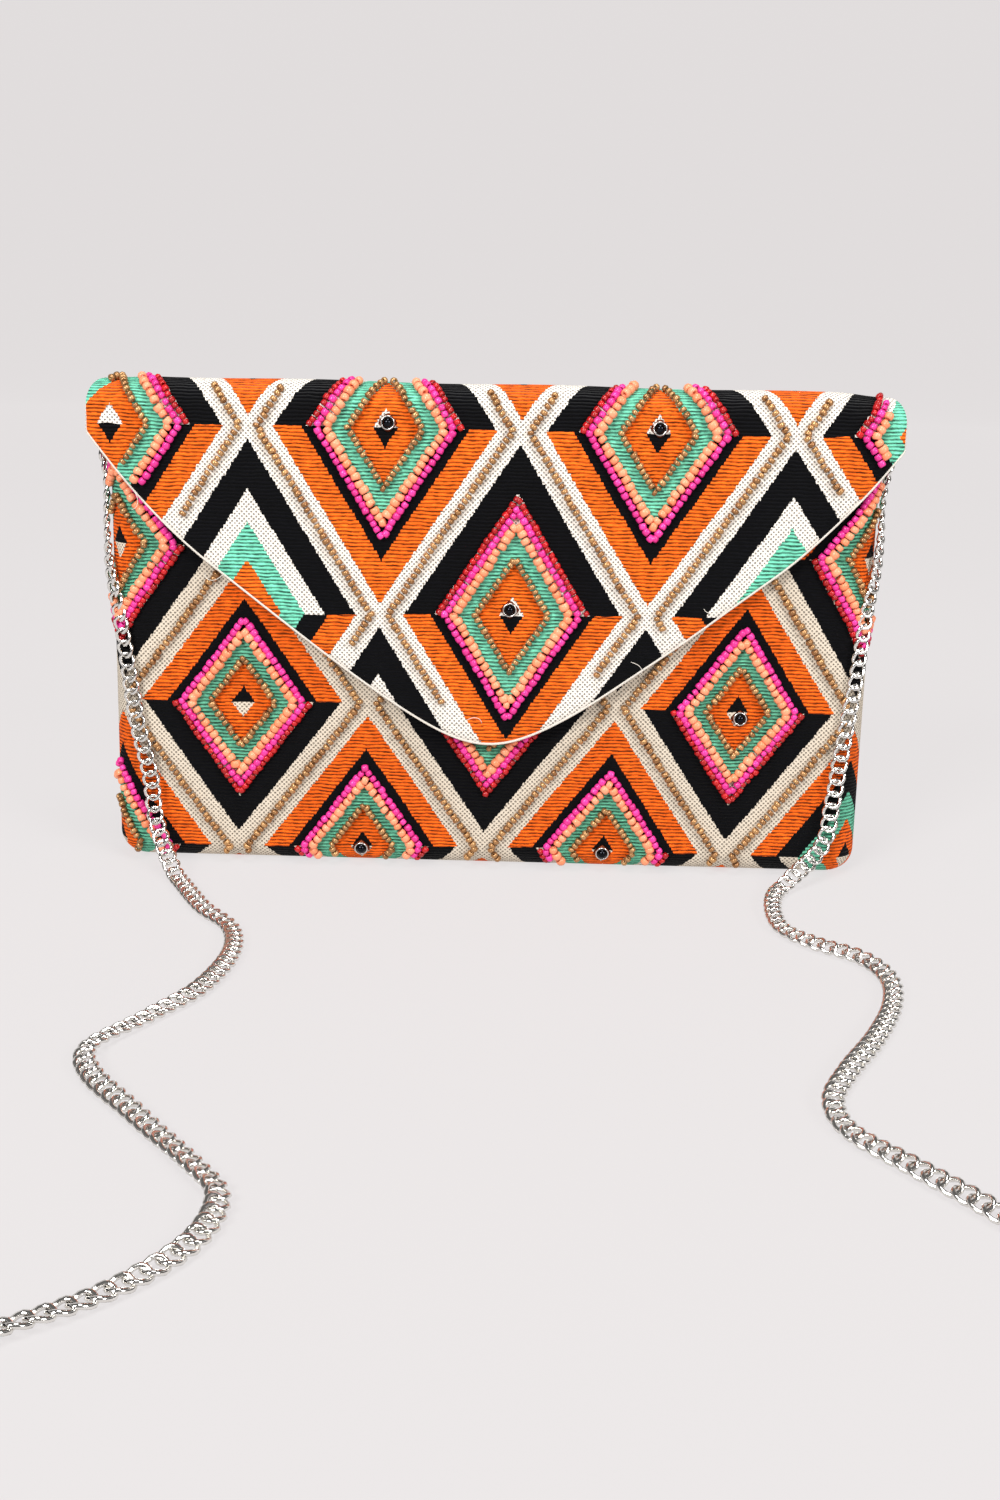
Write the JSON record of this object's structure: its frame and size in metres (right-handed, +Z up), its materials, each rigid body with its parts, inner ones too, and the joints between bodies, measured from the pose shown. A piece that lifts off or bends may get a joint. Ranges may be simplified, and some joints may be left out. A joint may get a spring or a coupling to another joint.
{
  "type": "clutch purse",
  "caption": "Envelope clutch purse with a pointed fold-over flap, beaded diamond pattern and a curb-chain strap on D-rings.",
  "frame": {"origin": "middle of the closed bag's footprint, on the surface it stands on", "axes": "+X along the width, to the right seen from the front; the front faces -Y; +Z up"},
  "size_m": [0.2892, 0.3684, 0.176],
  "materials": {
    "jacquard": "woven jacquard",
    "lining": "satin",
    "board": "matt",
    "chain": "polished",
    "steel": "polished",
    "gold_beads": "lustre",
    "coral_beads": "gloss",
    "magenta_beads": "gloss",
    "red_beads": "gloss",
    "gem": "facetted"
  },
  "bodies": {
    "bag": {"front_cover": "jacquard", "back_cover": "jacquard", "left_side_cover": "jacquard", "right_side_cover": "jacquard", "base_cover": "jacquard", "front_board": "board", "back_board": "board", "base_board": "board", "body_lining": "lining", "slip_pocket": "lining", "snap_socket": "steel", "left_ring_tab": "jacquard", "right_ring_tab": "jacquard", "left_chain_drop": "chain", "strap_chain": "chain", "right_chain_drop": "chain", "front_right_gold_beads": "gold_beads", "front_right_coral_beads": "coral_beads", "front_right_magenta_beads": "magenta_beads", "front_right_red_beads": "red_beads", "front_right_gem": "gem"},
    "top_fold": {"top_fold_cover": "jacquard", "top_fold_lining": "lining"},
    "flap": {"flap_cover": "jacquard", "flap_board": "board", "flap_lining": "lining", "flap_piping": "jacquard", "snap_stud": "steel", "flap_middle_gold_beads": "gold_beads", "flap_middle_coral_beads": "coral_beads", "flap_middle_magenta_beads": "magenta_beads", "flap_middle_red_beads": "red_beads", "flap_middle_gem": "gem", "flap_left_gold_beads": "gold_beads", "flap_left_coral_beads": "coral_beads", "flap_left_magenta_beads": "magenta_beads", "flap_left_gem": "gem", "flap_right_gold_beads": "gold_beads", "flap_right_coral_beads": "coral_beads", "flap_right_magenta_beads": "magenta_beads", "flap_right_gem": "gem"},
    "left_ring": {"left_d_ring": "steel", "left_jump_ring": "steel"},
    "right_ring": {"right_d_ring": "steel", "right_jump_ring": "steel"}
  },
  "joints": [
    {"name": "back_crease", "type": "hinge", "parent": "bag", "child": "top_fold", "pos_m": [0, 0.01275, 0.17368], "axis": [-1, 0, 0], "range_deg": [0, 88]},
    {"name": "front_crease", "type": "hinge", "parent": "top_fold", "child": "flap", "pos_m": [0, -0.0026, 0.17422], "axis": [-1, 0, 0], "range_deg": [0, 88]},
    {"name": "left_ring_swing", "type": "hinge", "parent": "bag", "child": "left_ring", "pos_m": [-0.1409, 0.0068, 0.1625], "axis": [0, 1, 0], "range_deg": [0, 100]},
    {"name": "right_ring_swing", "type": "hinge", "parent": "bag", "child": "right_ring", "pos_m": [0.1409, 0.0068, 0.1625], "axis": [0, -1, 0], "range_deg": [0, 100]}
  ],
  "couplings": [
    {"joint": "front_crease", "follows": "back_crease", "ratio": 1}
  ]
}
